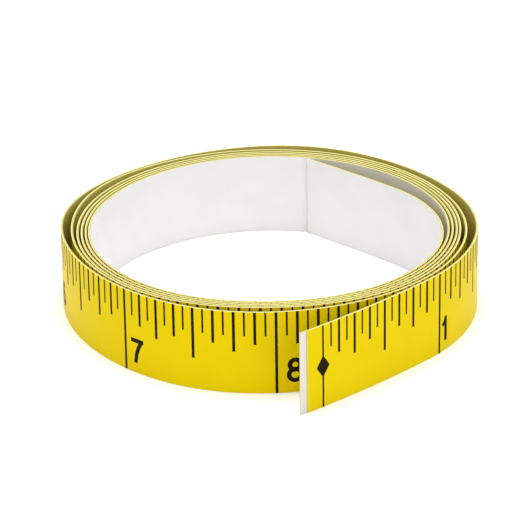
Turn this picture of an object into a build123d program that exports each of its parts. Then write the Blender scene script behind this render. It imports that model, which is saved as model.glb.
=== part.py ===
"""A loose coil of self-adhesive ruler tape, standing on edge.

The tape is a yellow printed face film, a layer of adhesive and a white release liner, wound about
six and a half turns with the film outwards. Inches are printed on the film from a zero line near
the outer free end. The outer turn is cut into short segments that hinge on each other, so that it
unrolls into a straight strip, and the liner's end peels off the adhesive.

Units are millimetres. +Z is up and along the tape's width, and the coil stands on z = 0.
"s" is the distance along the film's outer face from the zero line, growing towards the inner end.
"""

import math
import os
from bisect import bisect_right

from build123d import *

# ---- the tape ----
INCH = 25.4
TAPE_WIDTH = 13.3
FILM = 0.15
ADHESIVE = 0.05
LINER = 0.13
INK = 0.03  # how far the print stands on the film
FILM_START = -3.0  # the film's cut end, before the zero line
LINER_OVERHANG = 1.3  # how far the liner runs on past the film

# ---- the wound shape, as the distance from the coil's axis to the tape's tangent ----
FIRST_TURN = -90.0  # degrees: turns are counted from here, at the front
CORE_RADIUS = 32.4
TURN_PITCH = 0.62  # each turn lies this much inside the one around it
LOOSE_TURNS = 0.8  # how soon the looseness of the outer turn dies away
SWELL = 1.53
SHIFT = 1.70  # the loose turns lean this far to the back
LOBE = 0.33  # the loose turns are faintly three-sided
OVAL = -0.66  # the roll is this much narrower across than from front to back
OUT_OF_ROUND = (  # soft swellings and hollows of the loose turns: (angle, outwards)
    (10, 0.16), (40, -0.75), (70, 0.40), (120, -0.74), (170, 1.17), (220, -0.34), (250, 0.25),
    (390, -0.46), (510, 0.97), (570, -0.16), (630, -0.92), (720, -0.17), (870, 0.07),
    (990, -0.83), (1350, -0.74), (1710, -0.65), (1980, 0.10), (2070, -0.55),
)
SWELLING_SPREAD = 28.0  # degrees
AXIS_AT = (-0.13, 2.72)  # the coil's axis, which puts the whole part's box on the origin

# ---- the outer free end: a nearly straight tail that stands off the roll ----
TAIL_AT = -43.0  # the outward direction, in degrees, where the tail leaves the roll
TAIL_S = 22.4
TAIL_RADIUS = 190.0

# ---- the inner end: a tight bend, then a nearly straight run whose tip rests on the wall ----
BEND_AT = FIRST_TURN + 6 * 360 + 66.0
BEND_RADIUS = 25.0
BEND_TURN = 68.0
TIP_RADIUS = 300.0
TIP_RUN = 18.8

# ---- the hinged outer turn ----
SEGMENT = 0.75 * INCH
SEGMENTS = 11
FIRST_CUT = (0.75 - 1 / 32) * INCH  # every cut falls midway between two graduations
PEEL_LENGTH = 8.0  # the liner's end that peels, measured back from the film's end

# ---- the printed graduations: (fraction of an inch, length, line width) ----
INCH_MARK = (1, TAPE_WIDTH, 0.40)
HALF_MARK = (2, 8.2, 0.38)
QUARTER_MARK = (4, 6.5, 0.38)
EIGHTH_MARK = (8, 5.3, 0.36)
SIXTEENTH_MARK = (16, 3.9, 0.24)
MARKS = (INCH_MARK, HALF_MARK, QUARTER_MARK, EIGHTH_MARK, SIXTEENTH_MARK)
ZERO_LINE_WIDTH = 0.30
DIAMOND_WIDTH = 2.5
DIAMOND_HEIGHT = 3.6

ARC_STEP = 5.0  # longest arc in an outline
TABLE_STEP = 0.5  # degrees between entries of the length table

os.makedirs("parts", exist_ok=True)


def support(angle):
    """Distance from the coil's axis to the tangent of the tape that faces outwards at angle."""
    turns = (angle - FIRST_TURN) / 360
    loose = math.exp(-turns / LOOSE_TURNS)
    a = math.radians(angle)
    lean = SWELL + SHIFT * math.sin(a) + LOBE * math.cos(3 * a)
    swollen = sum(h * math.exp(-(((angle - at) / SWELLING_SPREAD) ** 2)) for at, h in OUT_OF_ROUND)
    return CORE_RADIUS - TURN_PITCH * turns + loose * lean + OVAL * math.cos(2 * a) + swollen


def wound(angle):
    """(x, y, outward direction in degrees) of the wound tape where it faces outwards at angle."""
    a = math.radians(angle)
    small = 0.01
    slope = (support(angle + small) - support(angle - small)) / math.radians(2 * small)
    reach = support(angle)
    x = AXIS_AT[0] + reach * math.cos(a) - slope * math.sin(a)
    y = AXIS_AT[1] + reach * math.sin(a) + slope * math.cos(a)
    return x, y, angle


def length_table():
    """The wound tape's angles and the distances s at which they come."""
    angles, lengths = [TAIL_AT], [TAIL_S]
    while angles[-1] < BEND_AT:
        angles.append(angles[-1] + TABLE_STEP)
        here, there = wound(angles[-2]), wound(angles[-1])
        lengths.append(lengths[-1] + math.dist(here[:2], there[:2]))
    return angles, lengths


ANGLES, LENGTHS = length_table()
BEND_S = LENGTHS[-1]
BEND_END_S = BEND_S + BEND_RADIUS * math.radians(BEND_TURN)
TIP_S = BEND_END_S + TIP_RUN
CURVATURE_JUMPS = (TAIL_S, BEND_S, BEND_END_S)


def along_arc(start, radius, run):
    """The place that lies run along an arc of that radius from start, curving as the coil does."""
    x, y, angle = start
    turned = angle + math.degrees(run / radius)
    a, b = math.radians(angle), math.radians(turned)
    x += radius * (math.cos(b) - math.cos(a))
    y += radius * (math.sin(b) - math.sin(a))
    return x, y, turned


def station(s):
    """(x, y, outward direction in degrees) of the film's outer face at s."""
    if s < TAIL_S:
        return along_arc(wound(TAIL_AT), TAIL_RADIUS, s - TAIL_S)
    if s < BEND_S:
        i = bisect_right(LENGTHS, s) - 1
        share = (s - LENGTHS[i]) / (LENGTHS[i + 1] - LENGTHS[i])
        return wound(ANGLES[i] + share * TABLE_STEP)
    bent = along_arc(wound(ANGLES[-1]), BEND_RADIUS, min(s, BEND_END_S) - BEND_S)
    return along_arc(bent, TIP_RADIUS, max(s - BEND_END_S, 0))


def point(s, depth):
    """The point at s that lies depth inside the film's outer face."""
    x, y, angle = station(s)
    a = math.radians(angle)
    return x - depth * math.cos(a), y - depth * math.sin(a)


def arcs(start, end, depth):
    """Arcs in the open BuildLine that follow the tape from s = start to end at a constant depth.
    An arc ends wherever the tape's curvature jumps."""
    low, high = sorted((start, end))
    stops = [low] + [s for s in CURVATURE_JUMPS if low < s < high] + [high]
    if end < start:
        stops.reverse()
    for first, last in zip(stops, stops[1:]):
        count = math.ceil(abs(last - first) / ARC_STEP)
        for i in range(count):
            a = first + (last - first) * i / count
            b = first + (last - first) * (i + 1) / count
            ThreePointArc(point(a, depth), point((a + b) / 2, depth), point(b, depth))


def strip_outline(start, end, top, bottom):
    """The plan outline of a layer between two depths."""
    with BuildSketch() as outline:
        with BuildLine():
            arcs(start, end, top)
            Line(point(end, top), point(end, bottom))
            arcs(end, start, bottom)
            Line(point(start, bottom), point(start, top))
        make_face()
    return outline.sketch


def save(part, name):
    part.label = name
    export_step(part, f"parts/{name}.step")


def layers(prefix, start, end, film_start, liner_start):
    """The face film, adhesive and liner of one stretch of tape."""
    depths = {
        "film": (film_start, 0, FILM),
        "adhesive": (film_start, FILM, FILM + ADHESIVE),
        "liner": (liner_start, FILM + ADHESIVE, FILM + ADHESIVE + LINER),
    }
    for name, (begin, top, bottom) in depths.items():
        with BuildPart() as layer:
            extrude(strip_outline(max(start, begin), end, top, bottom), amount=TAPE_WIDTH)
        save(layer.part, f"{prefix}_{name}")


def mark_places(per_inch, start, end):
    """Distances s of the graduations of one kind, without those that a longer kind takes."""
    pitch = INCH / per_inch
    first = max(1, math.ceil(start / pitch))
    last = math.floor(end / pitch)
    return [n * pitch for n in range(first, last + 1) if per_inch == 1 or n % 2]


def mark_outlines(places, width, height):
    """The plan outlines, at a height, of thin lines of ink on the film."""
    with BuildSketch(Plane.XY.offset(height)) as outlines:
        for s in places:
            with BuildLine():
                Polyline(
                    point(s - width / 2, 0),
                    point(s + width / 2, 0),
                    point(s + width / 2, -INK),
                    point(s - width / 2, -INK),
                    close=True,
                )
            make_face()
    return outlines.sketch


def graduations(name, marks, start, end):
    """The graduations of the given kinds between two distances, hanging from the top edge."""
    with BuildPart() as ink:
        for per_inch, length, width in marks:
            places = mark_places(per_inch, start, end)
            if places:
                extrude(mark_outlines(places, width, TAPE_WIDTH - length), amount=length)
    save(ink.part, name)


# ---- the hinged segments of the outer turn, numbered from the free end ----
cuts = [FIRST_CUT + SEGMENT * i for i in range(SEGMENTS)]
liner_end = FILM_START - LINER_OVERHANG
peel_cut = FILM_START + PEEL_LENGTH
starts = [liner_end] + cuts[:-1]
for number, (start, end) in enumerate(zip(starts, cuts), 1):
    layers(f"segment_{number:02d}", start, end, FILM_START, peel_cut)
    graduations(f"segment_{number:02d}_graduations", MARKS, start, end)

# ---- the zero line and its diamond, on the free end ----
x, y, angle = station(0)
outward = (math.cos(math.radians(angle)), math.sin(math.radians(angle)), 0)
along = (-outward[1], outward[0], 0)
face = Plane(origin=(x, y, TAPE_WIDTH / 2), x_dir=along, z_dir=outward)
with BuildPart() as zero_mark:
    with BuildSketch(face):
        Rectangle(ZERO_LINE_WIDTH, TAPE_WIDTH)
        with BuildLine():
            Polyline(
                (-DIAMOND_WIDTH / 2, 0),
                (0, -DIAMOND_HEIGHT / 2),
                (DIAMOND_WIDTH / 2, 0),
                (0, DIAMOND_HEIGHT / 2),
                close=True,
            )
        make_face()
    extrude(amount=INK)
save(zero_mark.part, "zero_diamond")

# ---- the liner's free end, which peels off the adhesive ----
with BuildPart() as peel_tab:
    tab_depths = (FILM + ADHESIVE, FILM + ADHESIVE + LINER)
    extrude(strip_outline(liner_end, peel_cut, *tab_depths), amount=TAPE_WIDTH)
save(peel_tab.part, "liner_peel_tab")

# ---- the rest of the tape, still wound up ----
layers("coil", cuts[-1], TIP_S, cuts[-1], cuts[-1])
graduations("coil_inch_lines", [INCH_MARK], cuts[-1], TIP_S)
graduations("coil_half_inch_marks", [HALF_MARK], cuts[-1], TIP_S)
graduations("coil_quarter_inch_marks", [QUARTER_MARK], cuts[-1], TIP_S)

# ---- what the record needs: the pivots stand on the film's outer face at each cut ----
for number, cut in enumerate(cuts, 1):
    x, y, angle = station(cut)
    print(f"pivot {number}: x {x:.4f} y {y:.4f} facing {angle:.3f}")
for number, (start, end) in enumerate(zip(starts, cuts), 1):
    print(f"segment {number} middle faces {station((start + end) / 2)[2]:.3f}")
x, y = point(peel_cut, FILM + ADHESIVE + LINER)
print(f"peel pivot: x {x:.4f} y {y:.4f}, tape length {TIP_S - FILM_START:.1f}")
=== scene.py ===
"""The looks of a loose coil of self-adhesive ruler tape that stands on its edge.

The tape is a yellow printed film, a layer of adhesive and a white release liner, wound about six
and a half turns with the film outwards. Lengths are worked out in millimetres, as in the CAD
source, and written to the meshes in metres. "s" is the distance along the film's outer face from
the zero line, growing towards the inner end; "depth" is measured inwards from that face.
"""

import math

import bpy
import numpy as np
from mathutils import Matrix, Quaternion, Vector


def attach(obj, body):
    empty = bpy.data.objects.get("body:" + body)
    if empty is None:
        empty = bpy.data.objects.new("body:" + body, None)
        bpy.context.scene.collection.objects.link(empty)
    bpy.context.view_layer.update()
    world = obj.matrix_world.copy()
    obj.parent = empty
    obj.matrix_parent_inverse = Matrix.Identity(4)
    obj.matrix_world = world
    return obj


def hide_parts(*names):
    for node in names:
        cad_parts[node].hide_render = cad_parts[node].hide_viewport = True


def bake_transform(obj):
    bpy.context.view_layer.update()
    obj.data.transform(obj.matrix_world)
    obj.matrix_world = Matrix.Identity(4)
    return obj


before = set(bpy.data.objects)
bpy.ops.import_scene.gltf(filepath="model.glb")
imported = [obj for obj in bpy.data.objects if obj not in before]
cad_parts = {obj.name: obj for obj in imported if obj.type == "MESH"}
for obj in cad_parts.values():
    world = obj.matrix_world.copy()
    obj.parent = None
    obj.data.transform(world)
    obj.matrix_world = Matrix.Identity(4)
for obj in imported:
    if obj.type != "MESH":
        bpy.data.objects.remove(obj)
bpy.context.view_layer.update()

MM = 0.001

# ---- the tape, as in the CAD source ----
INCH = 25.4
TAPE_WIDTH = 13.3
FILM = 0.15
ADHESIVE = 0.05
LINER = 0.13
FILM_START = -3.0
LINER_START = -4.3

# ---- the wound shape ----
FIRST_TURN = -90.0
CORE_RADIUS = 32.4
TURN_PITCH = 0.62
LOOSE_TURNS = 0.8
SWELL = 1.53
SHIFT = 1.70
LOBE = 0.33
OVAL = -0.66
OUT_OF_ROUND = (
    (10, 0.16), (40, -0.75), (70, 0.40), (120, -0.74), (170, 1.17), (220, -0.34), (250, 0.25),
    (390, -0.46), (510, 0.97), (570, -0.16), (630, -0.92), (720, -0.17), (870, 0.07),
    (990, -0.83), (1350, -0.74), (1710, -0.65), (1980, 0.10), (2070, -0.55),
)
SWELLING_SPREAD = 28.0
AXIS_AT = (-0.13, 2.72)
TAIL_AT = -43.0
TAIL_S = 22.4
TAIL_RADIUS = 190.0
BEND_AT = FIRST_TURN + 6 * 360 + 66.0
BEND_RADIUS = 25.0
BEND_TURN = 68.0
TIP_RADIUS = 300.0
TIP_RUN = 18.8

# ---- the hinged outer turn and the liner ----
SEGMENT = 0.75 * INCH
SEGMENTS = 11
FIRST_CUT = (0.75 - 1 / 32) * INCH
# The liner of the coil before this last stretch is coloured with painted yellow bounce light and
# painted shade.
WHITE_LENGTH = 262.0  # the innermost turn's liner lines the open middle and looks white

# ---- the print: (how many to the inch, length, line width, a little wider than the CAD's) ----
FINEST = 16
MARKS = ((1, TAPE_WIDTH, 0.42), (2, 8.2, 0.44), (4, 6.5, 0.44), (8, 5.3, 0.42), (16, 3.9, 0.28))
DIAMOND_WIDTH = 2.5
DIAMOND_HEIGHT = 3.6
ZERO_LINE = 0.30
INK = 0.02
OVERPRINT = 0.001  # strokes that cross lie this much above each other
MARK_COLUMNS = 3  # edges along each line, so that it follows the curve
DIAMOND_COLUMNS = 21
EDGE_BEVEL = 0.02
ADHESIVE_BEVEL = 0.008
ADHESIVE_BELOW_EDGE = 0.02

# ---- the camera: lengths in mm, angles in degrees ----
CAMERA_DISTANCE = 486.8
CAMERA_ELEVATION = 23.762
CAMERA_ROLL = -0.904
CAMERA_AIM_ASIDE = -0.966
CAMERA_AIM_HEIGHT = 7.029
CAMERA_SENSOR = 36.0
CAMERA_LENS = 211.303

# ---- how finely the meshes follow the curve ----
OUTER_STEP = 0.3
COIL_STEP = 0.5
TURN_STEP = 0.25  # degrees between entries of the length table


# ---------------------------------------------------------------- the wound shape


def support(angle):
    """Distance from the coil's axis to the tangent of the tape that faces outwards at angle."""
    turns = (angle - FIRST_TURN) / 360
    loose = np.exp(-turns / LOOSE_TURNS)
    a = np.radians(angle)
    lean = SWELL + SHIFT * np.sin(a) + LOBE * np.cos(3 * a)
    swollen = sum(h * np.exp(-(((angle - at) / SWELLING_SPREAD) ** 2)) for at, h in OUT_OF_ROUND)
    return CORE_RADIUS - TURN_PITCH * turns + loose * lean + OVAL * np.cos(2 * a) + swollen


def wound(angle):
    """x, y and outward direction of the wound tape where it faces outwards at angle."""
    a = np.radians(angle)
    small = 0.01
    slope = (support(angle + small) - support(angle - small)) / math.radians(2 * small)
    reach = support(angle)
    x = AXIS_AT[0] + reach * np.cos(a) - slope * np.sin(a)
    y = AXIS_AT[1] + reach * np.sin(a) + slope * np.cos(a)
    return x, y, angle


def length_table():
    count = round((BEND_AT - TAIL_AT) / TURN_STEP)
    angles = TAIL_AT + TURN_STEP * np.arange(count + 1)
    x, y, _ = wound(angles)
    runs = np.hypot(np.diff(x), np.diff(y))
    return angles, TAIL_S + np.concatenate(([0.0], np.cumsum(runs)))


ANGLES, LENGTHS = length_table()
BEND_S = LENGTHS[-1]
BEND_END_S = BEND_S + BEND_RADIUS * math.radians(BEND_TURN)
TIP_S = BEND_END_S + TIP_RUN


def along_arc(start, radius, run):
    x, y, angle = start
    turned = angle + np.degrees(run / radius)
    a, b = np.radians(angle), np.radians(turned)
    return x + radius * (np.cos(b) - np.cos(a)), y + radius * (np.sin(b) - np.sin(a)), turned


def station(s):
    """x, y and outward direction (degrees) of the film's outer face at s."""
    s = np.asarray(s, float)
    middle = wound(np.interp(s, LENGTHS, ANGLES))
    tail = along_arc(wound(TAIL_AT), TAIL_RADIUS, s - TAIL_S)
    bent = along_arc(wound(ANGLES[-1]), BEND_RADIUS, np.clip(s, BEND_S, BEND_END_S) - BEND_S)
    tip = along_arc(bent, TIP_RADIUS, np.maximum(s - BEND_END_S, 0))
    return tuple(
        np.where(s < TAIL_S, t, np.where(s < BEND_S, m, e)) for t, m, e in zip(tail, middle, tip)
    )


def place(s, depth, z):
    """Points in metres, one row each, from arrays of s, depth and height in millimetres."""
    x, y, angle = station(s)
    a = np.radians(angle)
    points = np.stack((x - depth * np.cos(a), y - depth * np.sin(a), z + 0 * x), axis=-1)
    return points * MM


# ---------------------------------------------------------------- meshes


def make_object(name, points, faces, materials, face_materials=None):
    """A mesh object from points in metres and a list of faces, facing outwards."""
    mesh = bpy.data.meshes.new(name)
    mesh.from_pydata([tuple(p) for p in points], [], [tuple(f) for f in faces])
    mesh.update()
    for material in materials:
        mesh.materials.append(material)
    if face_materials is not None:
        mesh.polygons.foreach_set("material_index", np.asarray(face_materials, np.int32))
    mesh.polygons.foreach_set("use_smooth", np.ones(len(mesh.polygons), bool))
    mesh.set_sharp_from_angle(angle=math.radians(30))
    mesh.update()
    piece = bpy.data.objects.new(name, mesh)
    bpy.context.scene.collection.objects.link(piece)
    return piece


def section(top, bottom, low, high, bevel, rows):
    """The closed outline of a layer across the tape, as (depth, z), with small bevels."""
    z = np.linspace(low + bevel, high - bevel, rows)
    ring = [(top, v) for v in z]
    ring += [(top + bevel, high), (bottom - bevel, high)]
    ring += [(bottom, v) for v in z[::-1]]
    ring += [(bottom - bevel, low), (top + bevel, low)]
    return np.array(ring)


def layer(name, start, end, top, bottom, step, materials, rows, bevel, high):
    """One stretch of a layer of the tape. The first material is the face's, the second the edge's."""
    ring = section(top, bottom, 0.0, high, bevel, rows)
    count = max(2, math.ceil((end - start) / step) + 1)
    s = np.linspace(start, end, count)
    size = len(ring)
    points = place(np.repeat(s, size), np.tile(ring[:, 0], count), np.tile(ring[:, 1], count))
    faces, kinds = [], []
    top_edge = range(rows - 1, rows + 2)
    bottom_edge = range(2 * rows + 1, 2 * rows + 4)
    for i in range(count - 1):
        for j in range(size):
            k = (j + 1) % size
            faces.append((i * size + j, (i + 1) * size + j, (i + 1) * size + k, i * size + k))
            kinds.append(1 if j in top_edge or j in bottom_edge else 0)
    for i, flip in ((0, False), (count - 1, True)):
        base = i * size
        cap = [(j, j + 1, 2 * rows - j, 2 * rows + 1 - j) for j in range(rows - 1)]
        cap.append((rows - 1, rows, rows + 1, rows + 2))
        cap.append((0, 2 * rows + 1, 2 * rows + 2, 2 * rows + 3))
        for face in cap:
            face = [base + v for v in face]
            faces.append(tuple(reversed(face)) if flip else tuple(face))
            kinds.append(1)
    return make_object(name, points, faces, materials, kinds)


class Print:
    """Thin closed solids of ink on the film, gathered for one piece."""

    def __init__(self):
        self.points = []
        self.faces = []
        self.count = 0

    def ribbon(self, left, right, height=INK):
        """A solid between two edges, each an array of (s, z), from one end to the other."""
        left, right = np.asarray(left, float), np.asarray(right, float)
        n = len(left)
        s = np.stack((left[:, 0], right[:, 0], right[:, 0], left[:, 0]), axis=1)
        z = np.stack((left[:, 1], right[:, 1], right[:, 1], left[:, 1]), axis=1)
        depth = np.tile((0.0, 0.0, -height, -height), (n, 1))
        self.points.append(place(s.ravel(), depth.ravel(), z.ravel()))
        base = self.count
        for i in range(n - 1):
            for j in range(4):
                k = (j + 1) % 4
                a, b = base + 4 * i, base + 4 * (i + 1)
                self.faces.append((a + j, b + j, b + k, a + k))
        self.faces.append((base, base + 1, base + 2, base + 3))
        last = base + 4 * (n - 1)
        self.faces.append((last + 3, last + 2, last + 1, last))
        self.count += 4 * n

    def stroke(self, path, thickness, height=INK):
        """A pen stroke of even thickness along a path of (s, z) points, with mitred corners."""
        path = np.asarray(path, float)
        runs = np.diff(path, axis=0)
        runs /= np.linalg.norm(runs, axis=1)[:, None]
        side = np.stack((-runs[:, 1], runs[:, 0]), axis=1)
        first, last = side[:1], side[-1:]
        mean = side[:-1] + side[1:]
        mean /= np.linalg.norm(mean, axis=1)[:, None]
        mitre = 1 / np.maximum((mean * side[1:]).sum(axis=1), 0.55)
        offset = np.concatenate((first, mean * mitre[:, None], last)) * thickness / 2
        self.ribbon(path + offset, path - offset, height)

    def build(self, name):
        return make_object(name, np.concatenate(self.points), self.faces, [INK_BLACK])


# ---------------------------------------------------------------- numerals

NUMBER_HEIGHT = 4.05
NUMBER_BASE = 1.66
NUMBER_WIDTH = 2.55
STROKE = 0.69
DIGIT_GAP = 0.42
BEARING = {"1": 0.72, "7": 1.22, "8": 1.5}  # from the inch line to a digit's left side
OTHER_BEARING = 1.2
NARROW = {"1": 1.32}


def bow(cx, cy, rx, ry, start, end, count=22):
    """Points along an arc of an ellipse, in degrees."""
    a = np.radians(np.linspace(start, end, count))
    return [(cx + rx * math.cos(t), cy + ry * math.sin(t)) for t in a]


def fill_in(points, longest=0.3):
    """The same path with no run longer than that."""
    out = [points[0]]
    for a, b in zip(points, points[1:]):
        steps = max(1, math.ceil(math.dist(a, b) / longest))
        out += [(a[0] + (b[0] - a[0]) * i / steps, a[1] + (b[1] - a[1]) * i / steps)
                for i in range(1, steps + 1)]
    return out


def digit_paths(digit):
    """Pen paths of a plain bold digit, from (0, 0) at its lower left corner."""
    w, h, t = NUMBER_WIDTH, NUMBER_HEIGHT, STROKE
    left, right, middle = t / 2, w - t / 2, w / 2
    low, high = t / 2, h - t / 2
    if digit == "0":
        return [bow(middle, h / 2, middle - left, h / 2 - low, 90, 450, 44)]
    if digit == "1":
        x = NARROW["1"] - t / 2
        return [[(x, 0), (x, h)], [(0.10, 2.72), (0.62, 3.02), (x - 0.02, h - 0.34)]]
    if digit == "2":
        hook = bow(middle, high - 1.02, middle - left, 1.02, 175, -28)
        return [hook + [(left + 0.10, low), (left + 0.12, low)], [(0.0, low), (w, low)]]
    if digit == "3":
        top = bow(middle - 0.1, high - 0.84, middle - left - 0.12, 0.84, 165, -90)
        foot = bow(middle - 0.1, low + 0.93, middle - left + 0.1, 0.93, 90, -165)
        return [top, foot]
    if digit == "4":
        x = right - 0.28
        return [[(x, 0), (x, h)], [(x - 0.05, h - 0.35), (0.12, 1.28)], [(0.0, 1.22), (w, 1.22)]]
    if digit == "5":
        bowl = bow(middle - 0.05, low + 1.02, middle - left + 0.05, 1.02, 125, -160)
        return [[(w - 0.1, high), (left + 0.22, high)], [(left + 0.25, h), (left + 0.06, 1.62)], bowl]
    if digit in "69":
        ring = bow(middle, low + 0.98, middle - left, 0.98, 90, 450, 40)
        bowed = bow(middle + 0.05, h / 2 + 0.2, middle - left + 0.045, h / 2 - 0.2 - low, 180, 40)
        back = [(left + 0.005, low + 0.98)] + bowed
        paths = [ring, back]
        if digit == "9":
            paths = [[(w - x, h - y) for x, y in path] for path in paths]
        return paths
    if digit == "7":
        leg = [(right - 0.05, high), (right - 0.62, high - 1.0), (middle - 0.12, high - 2.1),
               (middle - 0.42, 0)]
        return [[(0.0, high), (w, high)], leg]
    top = bow(middle, high - 0.82, middle - left - 0.14, 0.82, 90, 450, 36)
    foot = bow(middle, low + 0.92, middle - left, 0.92, 90, 450, 36)
    return [top, foot]


def numeral_parts(number):
    """(digit, distance of its left side from the inch line) of each digit of a number."""
    text = str(number)
    at = BEARING.get(text[0], OTHER_BEARING)
    parts = []
    for digit in text:
        parts.append((digit, at))
        at += NARROW.get(digit, NUMBER_WIDTH) + DIGIT_GAP
    return parts


# ---------------------------------------------------------------- materials


def shader(name, colour, roughness, **sockets):
    """A material with one Principled shader, and its node tree's links and nodes to hand."""
    material = bpy.data.materials.new(name)
    material.use_nodes = True
    tree = material.node_tree
    surface = tree.nodes["Principled BSDF"]
    surface.inputs["Base Color"].default_value = (*colour, 1)
    surface.inputs["Roughness"].default_value = roughness
    for socket, value in sockets.items():
        surface.inputs[socket.replace("_", " ")].default_value = value
    material.diffuse_color = (*colour, 1)
    return material, tree, surface


def noise(tree, scale, detail=3.0, stretch=(1, 1, 1)):
    """A noise texture in the piece's own coordinates, with scale in features per metre."""
    where = tree.nodes.new("ShaderNodeTexCoord")
    mapping = tree.nodes.new("ShaderNodeMapping")
    mapping.inputs["Scale"].default_value = stretch
    texture = tree.nodes.new("ShaderNodeTexNoise")
    texture.inputs["Scale"].default_value = scale
    texture.inputs["Detail"].default_value = detail
    tree.links.new(where.outputs["Object"], mapping.inputs["Vector"])
    tree.links.new(mapping.outputs["Vector"], texture.inputs["Vector"])
    return texture.outputs["Fac"]


def ramp(tree, source, low, high, positions=(0.3, 0.7)):
    """A colour ramp between two colours."""
    node = tree.nodes.new("ShaderNodeValToRGB")
    for element, place_at, colour in zip(node.color_ramp.elements, positions, (low, high)):
        element.position = place_at
        element.color = (*colour, 1)
    tree.links.new(source, node.inputs["Fac"])
    return node.outputs["Color"]


def spread(tree, source, low, high):
    """A value spread from low to high by a noise."""
    node = tree.nodes.new("ShaderNodeMapRange")
    node.inputs["From Min"].default_value = 0.3
    node.inputs["From Max"].default_value = 0.7
    node.inputs["To Min"].default_value = low
    node.inputs["To Max"].default_value = high
    tree.links.new(source, node.inputs["Value"])
    return node.outputs["Result"]


def bump(tree, surface, source, distance, strength=1.0):
    node = tree.nodes.new("ShaderNodeBump")
    node.inputs["Strength"].default_value = strength
    node.inputs["Distance"].default_value = distance
    tree.links.new(source, node.inputs["Height"])
    tree.links.new(node.outputs["Normal"], surface.inputs["Normal"])


def film_material():
    """Satin yellow vinyl: a faint cloudiness in the print, fine orange peel, uneven gloss."""
    material, tree, surface = shader(
        "yellow_film", (0.68, 0.515, 0.0005), 0.42, Specular_IOR_Level=0.03)
    cloud = noise(tree, 170, 4)
    tree.links.new(
        ramp(tree, cloud, (0.665, 0.503, 0.0003), (0.690, 0.524, 0.0006)), surface.inputs["Base Color"])
    tree.links.new(spread(tree, noise(tree, 900, 3), 0.30, 0.42), surface.inputs["Roughness"])
    bump(tree, surface, noise(tree, 2600, 3), 0.000012, 0.6)
    return material


def edge_material():
    """The film's cut edge, where its pale core shows between print and adhesive."""
    material, tree, surface = shader(
        "film_cut_edge", (0.78, 0.70, 0.20), 0.6, Specular_IOR_Level=0.1)
    grain = noise(tree, 1800, 4)
    tree.links.new(
        ramp(tree, grain, (0.70, 0.63, 0.20), (0.80, 0.73, 0.28)), surface.inputs["Base Color"])
    bump(tree, surface, grain, 0.00002, 0.5)
    return material


def adhesive_material():
    material, tree, surface = shader(
        "adhesive", (0.34, 0.29, 0.05), 0.34, Specular_IOR_Level=0.1)
    grain = noise(tree, 1200, 3)
    tree.links.new(
        ramp(tree, grain, (0.30, 0.25, 0.04), (0.38, 0.33, 0.07)), surface.inputs["Base Color"])
    bump(tree, surface, grain, 0.00001, 0.5)
    return material


def liner_material(name, low, high):
    """Release paper between the colours low and high, with short fibres that lie along the tape and a
    low sheen; some of the colours given hold painted bounce light and painted shade.
    """
    material, tree, surface = shader(name, high, 0.55, Specular_IOR_Level=0.25)
    fibres = noise(tree, 1500, 5, (1, 1, 2.4))
    clouds = noise(tree, 220, 3)
    tree.links.new(ramp(tree, clouds, low, high), surface.inputs["Base Color"])
    tree.links.new(spread(tree, fibres, 0.48, 0.62), surface.inputs["Roughness"])
    bump(tree, surface, fibres, 0.000015, 0.7)
    return material


def ink_material():
    material, tree, surface = shader("black_ink", (0.013, 0.010, 0.003), 0.45, Specular_IOR_Level=0.03)
    mottle = noise(tree, 2200, 4)
    tree.links.new(
        ramp(tree, mottle, (0.009, 0.007, 0.002), (0.017, 0.013, 0.004)), surface.inputs["Base Color"])
    tree.links.new(spread(tree, mottle, 0.36, 0.50), surface.inputs["Roughness"])
    bump(tree, surface, mottle, 0.000006, 0.5)
    return material


def floor_material():
    material, tree, surface = shader("pale_floor", (0.92, 0.92, 0.92), 0.8, Specular_IOR_Level=0.0)
    tree.links.new(
        ramp(tree, noise(tree, 3, 2), (0.915, 0.915, 0.915), (0.925, 0.925, 0.925)),
        surface.inputs["Base Color"])
    return material


FILM_YELLOW = film_material()
FILM_EDGE = edge_material()
ADHESIVE_OLIVE = adhesive_material()
# A real liner is white all over. The stretches that lie between the turns get painted yellow bounce
# light and painted shade in their colour, for the light from the film next to them and the shade
# between the turns; it stays when the outer turn unrolls.
LINER_WHITE = liner_material("release_liner", (0.700, 0.692, 0.686), (0.730, 0.722, 0.716))
LINER_PAINTED_BOUNCE_AND_SHADE = liner_material("release_liner_painted_bounce_and_shade", (0.50, 0.44, 0.10), (0.56, 0.50, 0.14))
# The liner's strip at the free end is drawn darker and warmer than the white liner: painted shade.
LINER_STRIP_PAINTED_SHADE = liner_material("release_liner_strip_painted_shade", (0.63, 0.60, 0.53), (0.67, 0.64, 0.57))
# The liner's cut edge is drawn darker and yellower than the paper: partly adhesive at the cut, partly
# painted yellow bounce light and painted shade.
LINER_EDGE_ADHESIVE_AND_BOUNCE = liner_material("liner_cut_edge_adhesive_and_painted_bounce", (0.50, 0.46, 0.20), (0.58, 0.54, 0.26))
INK_BLACK = ink_material()


# ---------------------------------------------------------------- the pieces

cuts = [FIRST_CUT + SEGMENT * i for i in range(SEGMENTS)]
starts = [LINER_START] + cuts[:-1]
middles = [(a + b) / 2 for a, b in zip(starts, cuts)]


def hang(piece, number, nodes):
    """Where the piece goes: number 0, the free end, moves with segment_01; 1 to 11, the stretches
    between the middles of the segments, stay where they are built; and 12, the wound coil, moves with
    the coil. The CAD nodes given are hidden."""
    if number == 0:
        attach(piece, "segment_01")
    elif number < SEGMENTS:
        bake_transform(piece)
    elif number == SEGMENTS:
        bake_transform(piece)
    else:
        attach(piece, "coil")
    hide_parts(*nodes)


def stretch_nodes(number, kind):
    """The CAD nodes that a stretch stands for: segment_01's count as the next stretch's."""
    if number == 0:
        return []
    if number <= SEGMENTS:
        return [f"segment_{number:02d}_{kind}"]
    return [f"coil_{kind}"]


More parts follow.
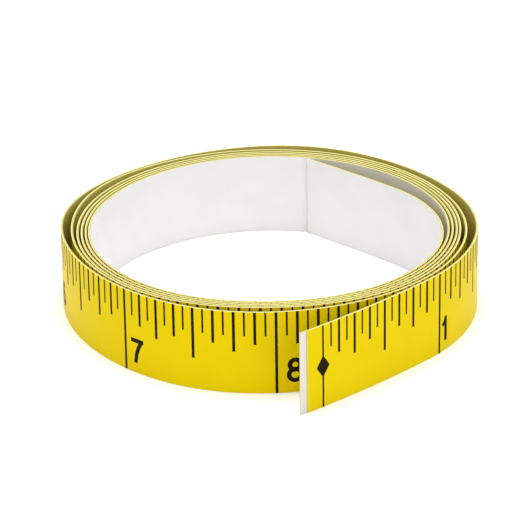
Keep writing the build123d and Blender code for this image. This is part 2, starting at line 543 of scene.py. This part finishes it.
bounds_s = [FILM_START] + middles + [cuts[-1], TIP_S]
LINER_TOP = FILM + ADHESIVE
LINER_BOTTOM = FILM + ADHESIVE + LINER


def stretch_name(kind, number):
    if number == 0:
        return f"{kind}_free_end"
    return f"{kind}_outer_turn_{number:02d}" if number <= SEGMENTS else f"{kind}_coil"


def step_of(number):
    return COIL_STEP if number > SEGMENTS else OUTER_STEP


def make_films():
    for number, (start, end) in enumerate(zip(bounds_s, bounds_s[1:])):
        piece = layer(stretch_name("film", number), start, end, 0.0, FILM, step_of(number),
                      (FILM_YELLOW, FILM_EDGE), rows=7, bevel=EDGE_BEVEL, high=TAPE_WIDTH)
        hang(piece, number, stretch_nodes(number, "film"))


def make_adhesives():
    for number, (start, end) in enumerate(zip(bounds_s, bounds_s[1:])):
        piece = layer(stretch_name("adhesive", number), start, end, FILM, LINER_TOP, step_of(number),
                      (ADHESIVE_OLIVE, ADHESIVE_OLIVE), rows=5, bevel=ADHESIVE_BEVEL,
                      high=TAPE_WIDTH - ADHESIVE_BELOW_EDGE)
        hang(piece, number, stretch_nodes(number, "adhesive"))


def liner_piece(name, number, start, end, face):
    return layer(name, start, end, LINER_TOP, LINER_BOTTOM, step_of(number), (face, LINER_EDGE_ADHESIVE_AND_BOUNCE),
                 rows=7, bevel=EDGE_BEVEL, high=TAPE_WIDTH)


def make_liners():
    """The liner: its free end reaches a little past the film's, and its last turn is a piece of its
    own, white all over.
    """
    white_from = TIP_S - WHITE_LENGTH
    # the free end's liner is coloured with painted shade
    piece = liner_piece("liner_free_end", 0, LINER_START, bounds_s[1], LINER_STRIP_PAINTED_SHADE)
    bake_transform(piece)
    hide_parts("liner_peel_tab")
    for number in range(1, SEGMENTS + 1):
        # the stretches between the turns take the liner colour with painted yellow bounce light and
        # painted shade
        piece = liner_piece(stretch_name("liner", number), number, bounds_s[number],
                            bounds_s[number + 1], LINER_PAINTED_BOUNCE_AND_SHADE)
        hang(piece, number, stretch_nodes(number, "liner"))
    coil = SEGMENTS + 1
    piece = liner_piece("liner_innermost_turn", coil, white_from, TIP_S, LINER_WHITE)
    hang(piece, coil, [])
    piece = liner_piece("liner_coil", coil, bounds_s[coil], white_from, LINER_PAINTED_BOUNCE_AND_SHADE)
    hang(piece, coil, stretch_nodes(coil, "liner"))


make_films()
make_adhesives()
make_liners()


def stretch_of(s):
    """The stretch that holds s."""
    return int(np.searchsorted(bounds_s, s, side="right")) - 1


prints = {}


def print_on(s):
    return prints.setdefault(stretch_of(s), Print())


def print_marks():
    """The graduations, which hang from the tape's top edge; the inch lines cross the whole width."""
    for n in range(1, math.floor(TIP_S / INCH * FINEST) + 1):
        s = n * INCH / FINEST
        per_inch, length, width = next(mark for mark in MARKS if n % (FINEST // mark[0]) == 0)
        foot = EDGE_BEVEL if per_inch == 1 else TAPE_WIDTH - length
        across = np.linspace(-width / 2, width / 2, MARK_COLUMNS)
        head = [(s + a, TAPE_WIDTH - EDGE_BEVEL) for a in across]
        print_on(s).ribbon(head, [(s + a, foot) for a in across])


def print_numbers():
    """The inch numbers, each to the right of its line."""
    for number in range(1, math.floor(TIP_S / INCH) + 1):
        for digit, at in numeral_parts(number):
            left = number * INCH + at
            width = NARROW.get(digit, NUMBER_WIDTH)
            if left + width > TIP_S:
                continue
            target = print_on(left + width / 2)
            for order, path in enumerate(digit_paths(digit)):
                moved = [(left + x, NUMBER_BASE + y) for x, y in fill_in(path)]
                target.stroke(moved, STROKE, INK + OVERPRINT * order)


def print_zero():
    """The zero line with its diamond."""
    zero = print_on(0.0)
    across = np.linspace(-ZERO_LINE / 2, ZERO_LINE / 2, MARK_COLUMNS)
    zero.ribbon([(a, TAPE_WIDTH - EDGE_BEVEL) for a in across], [(a, EDGE_BEVEL) for a in across])
    blunt = 0.01  # the side corners stay this much short of a point
    across = np.linspace(-DIAMOND_WIDTH / 2 + blunt, DIAMOND_WIDTH / 2 - blunt, DIAMOND_COLUMNS)
    half = DIAMOND_HEIGHT / 2 * (1 - np.abs(across) / (DIAMOND_WIDTH / 2))
    zero.ribbon(np.stack((across, TAPE_WIDTH / 2 + half), axis=1),
                np.stack((across, TAPE_WIDTH / 2 - half), axis=1), INK + OVERPRINT)


def make_prints():
    """The print of each stretch as one piece."""
    for number, gathered in sorted(prints.items()):
        piece = gathered.build(stretch_name("print", number))
        if number == 0:
            nodes = ["zero_diamond", "segment_01_graduations"]
        elif number <= SEGMENTS:
            nodes = [f"segment_{number:02d}_graduations"] if number > 1 else []
        else:
            nodes = ["coil_inch_lines", "coil_half_inch_marks", "coil_quarter_inch_marks"]
        hang(piece, number, nodes)


print_marks()
print_numbers()
print_zero()
make_prints()


# ---------------------------------------------------------------- floor, light and camera


def make_floor():
    """A floor plane just under the tape, so that the two do not share a surface."""
    half = 4.0
    corners = [(-half, -half, 0), (half, -half, 0), (half, half, 0), (-half, half, 0)]
    floor = make_object("floor", corners, [(0, 1, 2, 3)], [floor_material()])
    floor.location.z = -0.00002


def area_light(name, where, size, power):
    """A round lamp that points at the middle of the coil."""
    data = bpy.data.lights.new(name, "AREA")
    data.shape = "DISK"
    data.size = size
    data.energy = power
    lamp = bpy.data.objects.new(name, data)
    lamp.location = where
    lamp.rotation_mode = "QUATERNION"
    lamp.rotation_quaternion = (-Vector(where)).to_track_quat("-Z", "Y")
    bpy.context.scene.collection.objects.link(lamp)


def make_world(strength):
    world = bpy.data.worlds.new("studio")
    world.use_nodes = True
    background = world.node_tree.nodes["Background"]
    background.inputs["Color"].default_value = (1, 1, 1, 1)
    background.inputs["Strength"].default_value = strength
    bpy.context.scene.world = world
    bpy.context.scene.view_settings.view_transform = "Standard"


def make_camera():
    target = Vector((AXIS_AT[0] + CAMERA_AIM_ASIDE, AXIS_AT[1], CAMERA_AIM_HEIGHT)) * MM
    elevation, roll = math.radians(CAMERA_ELEVATION), math.radians(CAMERA_ROLL)
    back = Vector((0, -math.cos(elevation), math.sin(elevation)))
    data = bpy.data.cameras.new("camera")
    data.sensor_width = CAMERA_SENSOR
    data.lens = CAMERA_LENS
    data.clip_start, data.clip_end = 0.01, 20
    camera = bpy.data.objects.new("camera", data)
    camera.location = target + back * CAMERA_DISTANCE * MM
    camera.rotation_mode = "QUATERNION"
    camera.rotation_quaternion = (-back).to_track_quat("-Z", "Y") @ Quaternion((0, 0, 1), roll)
    bpy.context.scene.collection.objects.link(camera)
    bpy.context.scene.camera = camera


make_floor()
make_world(strength=0.90)
area_light("overhead", where=(0.0, 0.05, 0.7), size=0.6, power=4.2)
area_light("front_right", where=(0.35, -0.60, 0.30), size=0.3, power=0.55)
make_camera()
